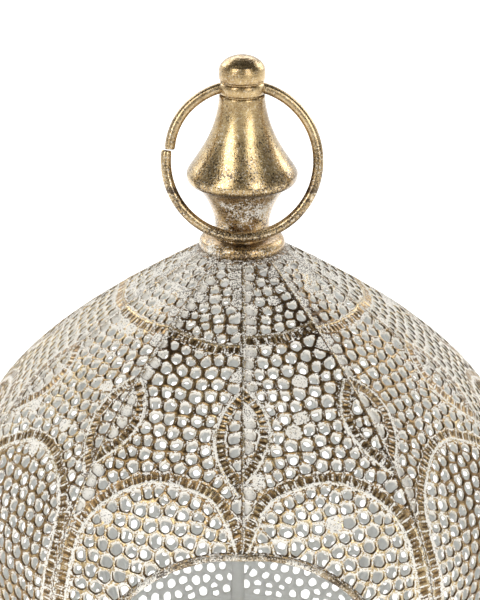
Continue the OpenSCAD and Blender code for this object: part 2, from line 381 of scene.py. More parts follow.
def sweep(name, path, radius, material, sides, closed=False):
    """A tube along a path. The radius is one number or one for each point."""
    path = np.asarray(path, float)
    n = len(path)
    radius = np.broadcast_to(radius, n)
    if closed:
        tangent = np.roll(path, -1, 0) - np.roll(path, 1, 0)
    else:
        tangent = np.gradient(path, axis=0)
    tangent /= np.linalg.norm(tangent, axis=1)[:, None]
    up = np.zeros_like(path)
    up[0] = np.cross(tangent[0], [0.3, 0.2, 0.93])
    up[0] /= np.linalg.norm(up[0])
    for k in range(1, n):
        u = up[k - 1] - tangent[k] * np.dot(up[k - 1], tangent[k])
        up[k] = u / np.linalg.norm(u)
    side = np.cross(tangent, up)
    twist = 0.0
    if closed:
        last = up[-1] - tangent[0] * np.dot(up[-1], tangent[0])
        twist = math.atan2(np.dot(last, side[0]), np.dot(last, up[0]))
    a = np.linspace(0, 2 * math.pi, sides, endpoint=False)[None] - (twist * np.arange(n) / n)[:, None]
    ring = np.cos(a)[..., None] * up[:, None] + np.sin(a)[..., None] * side[:, None]
    points = (path[:, None] + ring * radius[:, None, None]).reshape(-1, 3)
    caps = [] if closed else [list(range(sides))[::-1], [(n - 1) * sides + k for k in range(sides)]]
    return mesh_piece(name, points, grid_quads(n, sides, closed, True), material, caps)


# ---------------------------------------------------------------- the gores' surface

# These sizes, and the two curves of the outline, repeat part.scad's.
BELLY_R, BELLY_Z = 117.5, 122.0
CROWN_R, CROWN_Z = 17.2, 238.2
SKIRT_R, HOOP_H = 85.5, 14.0
SETBACK = 120.0
GORES = 10
GORE_DEG = 360 / GORES
HALF = math.radians(GORE_DEG / 2)
WINDOW_R, HEAD_Z, SILL_Z, TAPER = 57.0, 103.0, 48.0, math.radians(9)
SHEET_T = 0.8
CROWN_CURVE = [[CROWN_R - 0.3, CROWN_Z + 0.6], [BELLY_R + 7, BELLY_Z + 53.5], [BELLY_R, BELLY_Z + 12],
               [BELLY_R, BELLY_Z]]
SKIRT_CURVE = [[BELLY_R, BELLY_Z], [BELLY_R, BELLY_Z - 45], [SKIRT_R + 14, HOOP_H + 24], [SKIRT_R, HOOP_H]]

# On the real sheet: half the slit between two gores, and the width turned in round the window.
SLIT = 0.06
TURN_IN = 1.5


def bezier(p, t):
    p = np.array(p, float)
    t = np.asarray(t, float)[:, None]
    return (1 - t) ** 3 * p[0] + 3 * (1 - t) ** 2 * t * p[1] + 3 * (1 - t) * t * t * p[2] + t ** 3 * p[3]


# The outline from the crown down, the length along it, and its outward directions.
STEPS = np.linspace(0, 1, 1501)
LINE = np.vstack([bezier(CROWN_CURVE, STEPS), bezier(SKIRT_CURVE, STEPS)[1:]])
ARC = distance_along(LINE)
SLOPE = np.gradient(LINE, axis=0)
NORMAL = np.stack([-SLOPE[:, 1], SLOPE[:, 0]], 1) / np.hypot(*SLOPE.T)[:, None]
S_TOP = 0.8
S_END = ARC[-1] - 0.1


def gore_middle(i):
    """The angle of gore i's middle. The seam between the last gore and the first is at the front."""
    return math.radians(-90 + GORE_DEG * (i + 0.5))


def gore_side(i):
    """Each gore is laid out with its window at the lower-angle side, then mirrored if it is odd."""
    return -1 if i % 2 else 1


def radius_at(s):
    return np.interp(s, ARC, LINE[:, 0])


def level_at(s):
    return np.interp(s, ARC, LINE[:, 1])


def arc_at(z):
    return np.interp(-np.asarray(z, float), -LINE[:, 1], ARC)


def half_width(s):
    big = SETBACK + radius_at(s)
    return big * (HALF - np.arcsin(SETBACK * math.sin(HALF) / big)) - SLIT


def on_gore(s, w, h, middle):
    """Points on a gore: s down its outline, w across it, h outwards, with its middle at an angle."""
    big = SETBACK + radius_at(s)
    nr = np.interp(s, ARC, NORMAL[:, 0])
    nz = np.interp(s, ARC, NORMAL[:, 1])
    turn = w / big
    x = -SETBACK + (big + h * nr) * np.cos(turn)
    y = (big + h * nr) * np.sin(turn)
    z = level_at(s) + h * nz
    c, d = math.cos(middle), math.sin(middle)
    return np.stack([x * c - y * d, x * d + y * c, z], -1)


def window_outline(margin, step=0.5):
    """Half of a window's outline as (distance from the window's middle, height), from the head down."""
    r = WINDOW_R + margin
    t = np.linspace(0, math.pi / 2 + TAPER, int(r * 1.7 / step))
    head = np.stack([r * np.sin(t), HEAD_Z + r * np.cos(t)], 1)
    sill = SILL_Z - margin
    foot = head[-1, 0] - (head[-1, 1] - sill) * math.tan(TAPER)
    side = np.linspace(head[-1], [foot, sill], int((head[-1, 1] - sill) / step))[1:]
    base = np.linspace([foot, sill], [0, sill], int(foot / step))[1:]
    return np.vstack([head, side, base])


def window_to_gore(outline):
    """The half outline as (s, w) on the gore at the window's higher-angle side."""
    s = arc_at(outline[:, 1])
    big = SETBACK + radius_at(s)
    turn = np.arcsin(np.clip((outline[:, 0] + SETBACK * math.sin(HALF)) / big, -1, 1)) - HALF
    return np.stack([s, turn * big], 1)


def in_window(s, w, margin):
    """For a gore whose window is at its lower-angle side."""
    big = SETBACK + radius_at(s)
    out = big * np.sin(w / big + HALF) - SETBACK * math.sin(HALF)
    z = level_at(s)
    r = WINDOW_R + margin
    head = np.hypot(out, z - HEAD_Z) < r
    edge = [r * math.cos(TAPER), HEAD_Z - r * math.sin(TAPER)]
    side = (z < edge[1]) & (z > SILL_Z - margin) & (out < edge[0] - (edge[1] - z) * math.tan(TAPER))
    return (head & (z > edge[1])) | side


def smooth_path(points, step=0.28):
    """A Catmull-Rom curve through (s, w) points, resampled evenly."""
    p = np.array(points, float)
    p = np.vstack([2 * p[0] - p[1], p, 2 * p[-1] - p[-2]])
    out = []
    t = np.linspace(0, 1, 24, endpoint=False)[:, None]
    for a, b, c, d in zip(p[:-3], p[1:-2], p[2:-1], p[3:]):
        bend, twist = 2 * a - 5 * b + 4 * c - d, 3 * b - 3 * c + d - a
        out.append(0.5 * (2 * b + (c - a) * t + bend * t ** 2 + twist * t ** 3))
    out = np.vstack(out + [p[-2:-1]])
    length = distance_along(out)
    even = np.linspace(0, length[-1], max(int(length[-1] / step), 8))
    return np.stack([np.interp(even, length, out[:, 0]), np.interp(even, length, out[:, 1])], 1)


# ---------------------------------------------------------------- the pattern of one gore

# The garland's line on the gores in front, as (place across, distance from the crown). The rest share one.
GARLANDS = {
    0: [(-12.5, 36.5), (0.7, 36.7), (16, 33.4)],
    1: [(-12, 36.4), (-2.7, 37.9), (8, 37.9), (15, 36.4)],
    8: [(15, 36.0), (2, 38.0), (-12, 36.8)],
    9: [(16.5, 40.4), (5.7, 40.6), (-9.2, 37.2), (-15, 35.6)],
}
# The arch over a window, as (distance from the crown, place across): its rise and its start at a front seam.
ARCH_RISE = [(99.8, 12.5), (106.2, 21.2), (113.5, 27.0), (121.5, 30.2), (129, 31.8)]
ARCH_TOP = [(96.4, -6), (96.4, 3.5)]
ARCH_START = [(117.4, -32.4), (111.5, -29.2), (104.5, -24.4), (99.3, -17.5)]


FRONT_GORES = tuple(GARLANDS)


def has_window(i):
    return i in (0, GORES - 1)


def garland(i, shift):
    knots = GARLANDS.get(i)
    if knots:
        knots = sorted((gore_side(i) * w, s) for w, s in knots)
    else:
        knots = [(-15.5, 37 + shift[0]), (-5, 38.4 + shift[1]), (6, 38.2 + shift[1]), (15.5, 36.6 + shift[2])]
    edge = half_width(37)
    start, end = (-edge + 0.2, knots[0][1] - 0.3), (edge - 0.2, knots[-1][1] - 0.3)
    knots = [start] + [knot for knot in knots if abs(knot[0]) < edge - 2] + [end]
    return smooth_path([(s, w) for w, s in knots])


def half_leaf(side, top, tip, reach):
    t = np.linspace(0.035, 0.965, 15)
    s = top + (tip - top) * t
    d = reach * np.sin(math.pi * t) ** 0.82 - 1.9
    w = side * (half_width(s) - np.maximum(d, 0.15))
    return smooth_path(np.stack([s, w], 1)[d > -0.4])


def gore_bands(i, rng):
    """The comb bands of gore i as (centreline, half width, side of the plain border)."""
    shift = rng.uniform(-1.2, 1.2, 6)
    bands = [(garland(i, shift), 2.25, 1)]

    # Half a leaf at each seam, its plain border on the outside. Every second seam's leaf is longer.
    short, long = (56.6, 95.0), (57.4, 100.0)
    for side, reach in ((-1, 10.6), (1, 10.8)):
        top, tip = short if side == -gore_side(i) else long
        bands.append((half_leaf(side, top + 0.6 * shift[3], tip + shift[4], reach), 2.1, -side))

    # The arch over the window's shoulder, and its foot down the post.
    foot = [(s, half_width(s) - 3.9) for s in (136, 150, 165, 185, 205, 225, 245)]
    if has_window(i):
        start = [(119.6, -half_width(119.6) + 0.3)] + ARCH_START
    else:
        start = [(s, -w) for s, w in (ARCH_RISE + foot)[::-1]]
    arch = start + ARCH_TOP + ARCH_RISE + foot
    bands.append((smooth_path([(s + 0.5 * shift[5], w) for s, w in arch]), 2.35, -1))

    # A band above the hoop closes the pattern below the sill.
    low = S_END - 11.5
    reach = half_width(low) - 0.2
    bands.append((smooth_path([(low, -reach), (low + 0.4, 0), (low, reach)]), 2.25, -1))
    return bands


def nearest(points, curve):
    gap = points[:, None] - curve[None]
    d = np.hypot(gap[..., 0], gap[..., 1])
    k = d.argmin(1)
    return d[np.arange(len(points)), k], k


def clearance(points, bands, stride=1):
    """How far points are from the nearest band's side."""
    return np.min([nearest(points, path[::stride])[0] - half for path, half, _ in bands], 0)


def reflected(points, curve, reach):
    d, k = nearest(points, curve)
    close = d < reach
    p, k = points[close], k[close]
    tangent = curve[np.minimum(k + 1, len(curve) - 1)] - curve[np.maximum(k - 1, 0)]
    tangent /= np.hypot(*tangent.T)[:, None] + 1e-9
    normal = np.stack([-tangent[:, 1], tangent[:, 0]], 1)
    off = ((p - curve[k]) * normal).sum(1)
    return p - 2 * off[:, None] * normal


def gore_borders(windowed):
    s = np.arange(S_TOP, S_END, 0.5)
    w = half_width(s)
    borders = {"post": np.stack([s, w], 1), "seam": np.stack([s, -w], 1)}
    for name, end, count in (("crown", S_TOP, 41), ("hoop", S_END, 161)):
        edge = half_width(end)
        borders[name] = np.stack([np.full(count, end), np.linspace(-edge, edge, count)], 1)
    if windowed:
        window = window_to_gore(window_outline(TURN_IN))
        borders["seam"] = borders["seam"][(s < window[0, 0]) | (s > window[-1, 0])]
        borders["window"] = window[np.abs(window[:, 1]) < half_width(window[:, 0]) + 0.3]
    return borders


def in_gore(p, inset, windowed):
    s, w = p[:, 0], p[:, 1]
    fine = (s > S_TOP + inset) & (s < S_END - inset) & (np.abs(w) < half_width(s) - inset)
    return fine & ~in_window(s, w, TURN_IN + inset) if windowed else fine


def row_seeds(rng):
    """Staggered rows of cells, a little uneven, finer towards the crown."""
    seeds = []
    s, k = S_TOP + 2.0, 0
    while s < S_END:
        fine = np.interp(s, [0, 20, 60], [0.72, 0.86, 1.0])
        pitch = 5.9 * fine
        count = int(2 * half_width(s) / pitch) + 2
        w = (np.arange(count) - count / 2 + 0.5 * (k % 2) + 0.25) * pitch
        seeds.append(np.stack([np.full(count, s), w], 1))
        s += 5.15 * fine
        k += 1
    seeds = np.vstack(seeds)
    return seeds + rng.uniform(-1.15, 1.15, seeds.shape)


def centres_of(a, b, c):
    """The middles of the circles through the corners of triangles."""
    d = 2 * (a[:, 0] * (b[:, 1] - c[:, 1]) + b[:, 0] * (c[:, 1] - a[:, 1]) + c[:, 0] * (a[:, 1] - b[:, 1]))
    d = np.where(np.abs(d) < 1e-9, 1e-9, d)
    a2, b2, c2 = (a ** 2).sum(1), (b ** 2).sum(1), (c ** 2).sum(1)
    x = (a2 * (b[:, 1] - c[:, 1]) + b2 * (c[:, 1] - a[:, 1]) + c2 * (a[:, 1] - b[:, 1])) / d
    y = (a2 * (c[:, 0] - b[:, 0]) + b2 * (a[:, 0] - c[:, 0]) + c2 * (b[:, 0] - a[:, 0])) / d
    return np.stack([x, y], 1)


def voronoi(free, fixed, borders):
    """Cells of the seeds: for each seed its corner keys in order, and the corners' places."""
    seeds = np.vstack([fixed, free])
    points, owners = [seeds], [np.full(len(seeds), -1)]
    curves = list(borders.values())
    for n, curve in enumerate(curves):
        ghost = reflected(seeds, curve, 9.5)
        ghost = ghost[~in_gore(ghost, 0.05, "window" in borders)]
        points.append(ghost)
        owners.append(np.full(len(ghost), n))
    points, owners = np.vstack(points), np.concatenate(owners)
    flat = [Vector((float(a), float(b))) for a, b in points]
    coords, _, faces, origin, _, _ = delaunay_2d_cdt(flat, [], [], 0, 1e-7)
    source = np.array([o[0] if o else -1 for o in origin])
    xy = np.array([[c.x, c.y] for c in coords])
    tri = np.array([f for f in faces if len(f) == 3])
    centre = centres_of(*(xy[tri[:, k]] for k in range(3)))
    tri = source[tri]
    around = {}
    for f, three in enumerate(tri):
        for v in three:
            if v < len(seeds):
                around.setdefault(v, []).append(f)

    # Corners on a border are drawn onto it.
    on_border = np.zeros(len(tri), bool)
    for f, three in enumerate(tri):
        kinds = sorted(set(owners[v] for v in three if owners[v] >= 0))
        if kinds:
            here = centre[f:f + 1]
            curve = min((curves[n] for n in kinds), key=lambda q: nearest(here, q)[0][0])
            centre[f] = curve[nearest(here, curve)[1][0]]
            on_border[f] = True

    # Corners that nearly coincide are one corner.
    same = np.arange(len(tri))
    for members in around.values():
        for f, g in combinations(members, 2):
            if np.hypot(*(centre[f] - centre[g])) < 0.3 and on_border[f] == on_border[g]:
                low, high = sorted((same[f], same[g]))
                same[same == high] = low
    cells = {}
    for v, members in around.items():
        keys = sorted(set(int(same[f]) for f in members))
        middle = centre[keys].mean(0)
        turn = np.arctan2(-(centre[keys, 0] - middle[0]), centre[keys, 1] - middle[1])
        cells[v] = [keys[q] for q in np.argsort(turn)]
    return cells, centre


def thinned(points, apart):
    """The points without those that are too close to an earlier one."""
    keep = np.ones(len(points), bool)
    for k in range(len(points)):
        if keep[k]:
            close = np.hypot(*(points - points[k]).T) < apart
            close[:k + 1] = False
            keep[close] = False
    return points[keep]


def keep_clear(free, bands, windowed):
    """Seeds are pushed off the bands, and any that stay on one are dropped."""
    for path, half, _ in bands:
        d, k = nearest(free, path)
        push = d < half + 2.3
        away = (free - path[k]) / np.maximum(d, 1e-6)[:, None]
        free = np.where(push[:, None], path[k] + away * (half + 2.3), free)
    keep = in_gore(free, 1.0, windowed)
    for path, half, _ in bands:
        keep &= nearest(free, path)[0] > half + 1.6
    return thinned(free[keep], 2.9)


def relaxed(free, fixed, bands, borders, turns):
    """The free seeds, drawn towards the middles of their cells a few times."""
    for _ in range(turns):
        cells, centre = voronoi(free, fixed, borders)
        moved = free.copy()
        for v, keys in cells.items():
            if v >= len(fixed) and len(keys) > 2:
                moved[v - len(fixed)] = 0.6 * free[v - len(fixed)] + 0.4 * centre[keys].mean(0)
        free = keep_clear(moved, bands, "window" in borders)
    return free


def fill_gaps(free, fixed, bands, windowed):
    """More seeds where the cells along the bands and borders would be too large."""
    s, w = np.meshgrid(np.arange(S_TOP + 2, S_END - 2, 1.1), np.arange(-38, 38.1, 1.1), indexing="ij")
    spots = np.stack([s.ravel(), w.ravel()], 1)
    spots = spots[in_gore(spots, 1.7, windowed)]
    for path, half, _ in bands:
        spots = spots[nearest(spots, path[::3])[0] > half + 1.35]
    room = np.interp(spots[:, 0], [0, 20, 60], [2.9, 3.5, 3.95])
    gap = np.min([np.hypot(*(spots - seed).T) for seed in np.vstack([free, fixed])], 0)
    added = []
    while (gap > room).any():
        k = int(np.argmax(gap - room))
        added.append(spots[k])
        gap = np.minimum(gap, np.hypot(*(spots - spots[k]).T))
    return np.vstack([free] + added)


def gore_cells(i, rng, bands):
    """Gore i's cells as corner keys, the corners' places, and how many cells lie under the bands."""
    windowed = has_window(i)
    borders = gore_borders(windowed)
    fixed = np.vstack([path[::13] for path, _, _ in bands])
    fixed = thinned(fixed[in_gore(fixed, 0.3, windowed)], 2.6)
    free = relaxed(keep_clear(row_seeds(rng), bands, windowed), fixed, bands, borders, 2)
    free = fill_gaps(free, fixed, bands, windowed)
    return *voronoi(free, fixed, borders), len(fixed)


# ---------------------------------------------------------------- the pierced sheet


class Skin:
    """The points of a mesh on a gore, each with its looks, gathered bit by bit."""

    def __init__(self):
        self.places, self.heights = [], []
        self.looks = [[] for _ in LOOKS]
        self.total = 0

    def add(self, p, h, *looks):
        """Adds (s, w) points at a height, with a value for each of LOOKS, and gives their numbers."""
        n = len(p)
        self.places.append(p)
        for store, value in zip([self.heights, *self.looks], (h, *looks)):
            store.append(np.broadcast_to(np.asarray(value, float), n))
        self.total += n
        return np.arange(self.total - n, self.total)

    def piece(self, name, i, quads, others):
        """The mesh on gore i, as a piece of the body's sheet."""
        p = np.concatenate(self.places)
        points = on_gore(p[:, 0], gore_side(i) * p[:, 1], np.concatenate(self.heights), gore_middle(i))
        quads = np.concatenate(quads)
        if gore_side(i) < 0:
            quads = quads[:, ::-1]
            others = [face[::-1] for face in others]
        attributes = {key: np.concatenate(values) for key, values in zip(LOOKS, self.looks)}
        return mesh_piece(name, points, quads, SHEET, others, attributes)


def hill(x, reach):
    return np.exp(-(x / reach) ** 2)


def patch(off, s, off_middle, off_reach, s_middle, s_reach):
    return np.exp(-((off - off_middle) / off_reach) ** 2 - ((s - s_middle) / s_reach) ** 2)


def region(p, i, bands):
    """How brown, spotted and white gore i is at some places, how wide its ridges and how sharp its edges."""
    s, w = p[:, 0], p[:, 1]
    big = SETBACK + radius_at(s)
    turn = gore_side(i) * w / big
    round_at = GORE_DEG * (i + 0.5) + np.degrees(np.arctan2(big * np.sin(turn), big * np.cos(turn) - SETBACK))
    off = (round_at + 180) % 360 - 180
    left = off < 0

    # Where the places lie: towards the sides, tarnished, under the arch, on its flanks, in front, at a seam.
    side = np.clip((np.abs(off) - np.where(left, 34, 40)) / 45, 0, 1) * (s < 150) * np.where(left, 1.5, 1.2)
    tarnish = 1.3 * patch(off, s, 36, 15, 32, 17)
    tarnish = np.maximum(tarnish, 1.0 * patch(off, s, -31, 8, 38, 13))
    tarnish = np.maximum(tarnish, 0.3 * patch(off, s, 58, 18, 66, 26))
    under = np.clip((s - 98 - 0.016 * w ** 2) / 9, 0, 1)
    # Under the arch the flanks turn browner and less white; on the right flank this is painted shade.
    left_flank, shaded_right_flank = 0.75 * np.clip((-off - 22) / 22, 0, 1), 1.2 * np.clip((off - 43) / 9, 0, 1)
    flank = under * np.where(left, left_flank, shaded_right_flank)
    front = patch(off, s, 5, 12, 72, 26)
    seam = hill(half_width(s) - np.abs(w), 5.0)
    lapped = hill(half_width(s) + gore_side(i) * w, 3.0) * (s < 118)
    height_up = np.clip((48 - s) / 30, 0, 1)
    crown = height_up * (1 - 0.6 * hill(off, 34))

    brown = 0.68 - 0.26 * under + 0.22 * seam * (s < 120) - 0.12 * crown
    brown = brown - 0.2 * side * (1 - under) + 0.3 * tarnish + 0.3 * flank - 0.1 * front
    spots = 0.25 + 0.45 * height_up + 0.5 * seam * (s < 110)
    white = 0.19 + 0.24 * crown + 0.24 * under + 0.5 * lapped
    white = white + np.where(left, 0.26, 0.4) * side * (1 - under) - 0.4 * tarnish - 0.3 * flank
    white = white + 0.13 * front + 0.3 * hill(np.maximum(clearance(p, bands, 5), 0), 1.3)
    wide = 1 + 0.4 * tarnish + 0.25 * under
    sharp = 1 - np.where(left, 0.6, 0.35) * np.minimum(side, 1)
    return brown, spots, white, wide, sharp


def pair(f, g):
    return min(f, g), max(f, g)


def edges_of(keys):
    return zip(keys, keys[1:] + keys[:1])


class PiercedGore:
    """Gore i's sheet: each cell is punched with a torn hole, or closed with whitewash."""

    def __init__(self, i):
        self.i = i
        self.rng = np.random.default_rng(400 + i)
        self.bands = gore_bands(i, self.rng)
        self.cells, self.centre, self.under_bands = gore_cells(i, self.rng, self.bands)
        self.skin = Skin()
        self.quads, self.tris = [], []
        self.corners, self.edges = {}, {}

    def rim(self, p, thin):
        """Points where cells meet, on the outside and on the inside. Thinner places are less white."""
        if not len(p):
            return np.zeros(0, int), np.zeros(0, int)
        brown, spots, white, _, _ = region(p, self.i, self.bands)
        jitter = self.rng.uniform(-0.06, 0.03, len(p))
        front = self.skin.add(p, -0.03 + jitter, white + thin, 0.0, brown - 0.3 * thin, spots, 0.0)
        return front, self.skin.add(p, -SHEET_T, *INSIDE_LOOK)

    def corner(self, f):
        if f not in self.corners:
            self.corners[f] = self.rim(self.centre[f:f + 1], -0.14)
        return self.corners[f]

    def edge(self, f, g):
        key = pair(f, g)
        if key not in self.edges:
            p, q = self.centre[key[0]], self.centre[key[1]]
            n = max(1, int(round(np.hypot(*(q - p)) / 0.9)))
            t = np.linspace(0, 1, n + 1)[1:-1, None]
            self.edges[key] = self.rim(p + (q - p) * t, 0.30 * (4 * t * (1 - t))[:, 0] - 0.06)
        front, back = self.edges[key]
        return (front, back) if f == key[0] else (front[::-1], back[::-1])

    def outlines(self):
        """For each cell, its rim's points outside and inside, and where the sheet ends there."""
        uses = Counter(pair(f, g) for keys in self.cells.values() for f, g in edges_of(keys))
        found = {}
        for v, keys in self.cells.items():
            if len(keys) < 3:
                continue
            front, back, ends = [], [], []
            for f, g in edges_of(keys):
                for corner, edge, line in zip(self.corner(f), self.edge(f, g), (front, back)):
                    line += [*corner, *edge]
                ends += [uses[pair(f, g)] == 1] * (len(front) - len(ends))
            found[v] = np.array(front), np.array(back), np.array(ends)
        return found

    def strip(self, a, b):
        self.quads.append(np.stack([a, np.roll(a, -1), np.roll(b, -1), b], 1))

    def fan(self, ring, tip, inward=False):
        for a, b in zip(ring, np.roll(ring, -1)):
            self.tris.append((b, a, tip) if inward else (a, b, tip))

    def closed_cell(self, front, back, cx, arm, under_band, brown, spots):
        """A shallow dent filled with whitewash."""
        rng, add = self.rng, self.skin.add
        sunk = 0.3 if under_band else rng.uniform(0.2, 0.45)
        white = 0.45 if under_band else rng.uniform(0.7, 0.95)
        outer = add(cx + arm * 0.74, -sunk * 0.7, white, 0.1, brown, spots + 0.3, 0)
        inner = add(cx + arm * 0.36, -sunk, white, 0.05, brown, spots + 0.3, 0)
        middle = add(cx[None], -sunk, white, 0, brown, spots + 0.3, 0)
        self.strip(front, outer)
        self.strip(outer, inner)
        self.fan(inner, middle[0])
        behind = add(cx + arm * 0.5, -SHEET_T - 0.05, *INSIDE_LOOK)
        middle = add(cx[None], -SHEET_T - 0.05, *INSIDE_LOOK)
        self.quads.append(np.stack([np.roll(back, -1), back, behind, np.roll(behind, -1)], 1))
        self.fan(behind, middle[0], inward=True)

    def punched_cell(self, front, back, cx, unit, far, lip, looks):
        """A hole with a rolled lip, bent in to a torn edge. All of it runs round as one loop of strips."""
        rng, add = self.rng, self.skin.add
        brown, spots, white, sharp = looks
        down = unit[:, 0]
        drop = np.array([rng.uniform(0.15, 0.42), rng.uniform(-0.15, 0.15)])
        burr = rng.uniform(-0.1, 0.1, len(front))
        burr = 0.5 * burr + 0.25 * (np.roll(burr, 1) + np.roll(burr, -1))
        deep = -(1.25 + rng.uniform(-0.15, 0.2)) + 1.8 * burr
        if self.i in FRONT_GORES:
            share = rng.uniform(0.81, 0.91) - 0.12 * (cx[0] < 95)
        else:
            share = rng.uniform(0.75, 0.89) - 0.18 * (cx[0] < 165)
        squeeze = rng.uniform(0.0, 0.22)
        squeezed_at = np.arctan2(unit[:, 1], unit[:, 0]) - rng.uniform(0, math.pi)
        squeeze = squeeze * (0.5 + 0.5 * np.cos(2 * squeezed_at))
        inner = np.maximum(lip * share * (1 - squeeze) - 0.05 + burr, 0.3)

        def at(distance, shift=0.0):
            return cx + shift + unit * distance[:, None]

        # Painted light: each hole's rim is made whiter on its upper side, a painted highlight, and darker
        # towards its lower side, a painted shadow, over a dark edge that runs all round.
        lit_top_side = np.clip(-down * 0.8 + 0.35, 0, 1)
        shaded_low_side = np.clip(down * 0.9 + 0.7, 0, 1) * sharp
        lip_edge_and_shade = 0.5 * sharp + 0.7 * shaded_low_side - 0.35 * lit_top_side
        on_lip, on_tip = at(lip), at(inner, drop)
        loop = [
            front,
            add(at(far - 0.55 * (far - lip)), -0.06, white * 0.9 + 0.1, 0.42 * shaded_low_side, brown, spots, 0),
            add(on_lip, -0.3, 0.1 + 0.6 * lit_top_side, lip_edge_and_shade, brown + 0.1, spots, 0),
            add(0.62 * on_lip + 0.38 * on_tip, -0.7, 0.76, 0.5 * shaded_low_side, brown * 0.7, spots * 0.6, 0),
            add(on_tip, deep, 0.95, 0, 0.2, 0.1, 0.0),
            add(at(inner + 0.16, drop), deep - 0.02, *INSIDE_LOOK),
            add(at(0.5 * (inner + 0.2) + 0.5 * lip, drop * 0.4), -SHEET_T - 0.28, *INSIDE_LOOK),
            add(at(np.minimum(lip + 0.18, far - 0.08)), -SHEET_T - 0.04, *INSIDE_LOOK),
            back,
        ]
        for a, b in zip(loop, loop[1:]):
            self.strip(a, b)

    def cell(self, v, front, back, ends, ring):
        rng = self.rng
        cx = ring.mean(0)
        arm = ring - cx
        far = np.hypot(*arm.T)
        unit = arm / far[:, None]
        brown, spots, white, wide, sharp = (float(q[0]) for q in region(cx[None], self.i, self.bands))
        ridge = rng.uniform(0.36, 0.58) * wide * (1.12 if cx[0] < 95 else 1.0)
        lip = far - ridge * 1.15
        for _ in range(7):
            lip = 0.25 * np.roll(lip, 1) + 0.5 * lip + 0.25 * np.roll(lip, -1)
        lip = np.minimum(lip, far - ridge)
        lip = np.minimum(lip, 1.07 * lip.mean())
        lip = lip + rng.uniform(-0.2, 0.1, len(front)) * np.clip(0.6 - unit[:, 0], 0, 1)
        under_band = v < self.under_bands and clearance(cx[None], self.bands)[0] < 0.7
        too_small = lip.mean() < 0.72 or lip.min() < 0.22
        at_seam = half_width(cx[0]) - abs(cx[1]) < 3.2
        chance = 0.015 + 0.16 * (cx[0] < 20) + 0.2 * at_seam * (cx[0] < 56)
        if under_band or too_small or rng.random() < chance:
            self.closed_cell(front, back, cx, arm, under_band, brown, spots)
        else:
            self.punched_cell(front, back, cx, unit, far, lip, (brown, spots, white, sharp))
        if ends.any():
            k = np.flatnonzero(ends)
            nxt = np.roll(np.arange(len(front)), -1)[k]
            self.quads.append(np.stack([front[k], back[k], back[nxt], front[nxt]], 1))

    def build(self):
        outlines = self.outlines()
        places = np.concatenate(self.skin.places)
        for v, (front, back, ends) in outlines.items():
            self.cell(v, front, back, ends, places[front])
        node = f"gore_{self.i + 1:02d}"
        obj = self.skin.piece(node + "_pierced", self.i, self.quads, self.tris)
        finish_piece(obj, nodes=[node])
        band_mesh(node + "_combs", self.bands, self.i, self.rng)


# ---------------------------------------------------------------- comb bands and laps

# A band's section: place across it, height, share of rib relief, wash, dark, warm.
COMB = [
    (-1.02, -0.42, 0.0, 0.3, 0.4, 0.7),
    (-0.98, -0.16, 0.1, 0.3, 0.1, 0.6),
    (-0.88, -0.06, 0.5, 0.3, 0.0, 0.5),
    (-0.74, -0.04, 0.9, 0.26, 0.0, 0.5),
    (-0.50, -0.04, 1.0, 0.24, 0.0, 0.5),
    (-0.15, -0.04, 1.0, 0.24, 0.0, 0.5),
    (0.20, -0.04, 1.0, 0.28, 0.0, 0.5),
    (0.38, -0.02, 0.8, 0.42, 0.0, 0.5),
    (0.50, 0.01, 0.3, 0.66, 0.0, 0.4),
    (0.70, 0.05, 0.0, 0.78, 0.0, 0.3),
    (0.90, 0.00, 0.0, 0.68, 0.0, 0.4),
    (1.02, -0.42, 0.0, 0.3, 0.35, 0.7),
]


def uneven_along(length, step, size, rng):
    """A seeded unevenness along a line, with a knot at each step."""
    knots = np.arange(0, length[-1] + 2 * step, step)
    return np.interp(length, knots, rng.uniform(-size, size, len(knots)))


def kept_on(spot, limit):
    spot[:, 1] = np.clip(spot[:, 1], -limit, limit)
    return spot


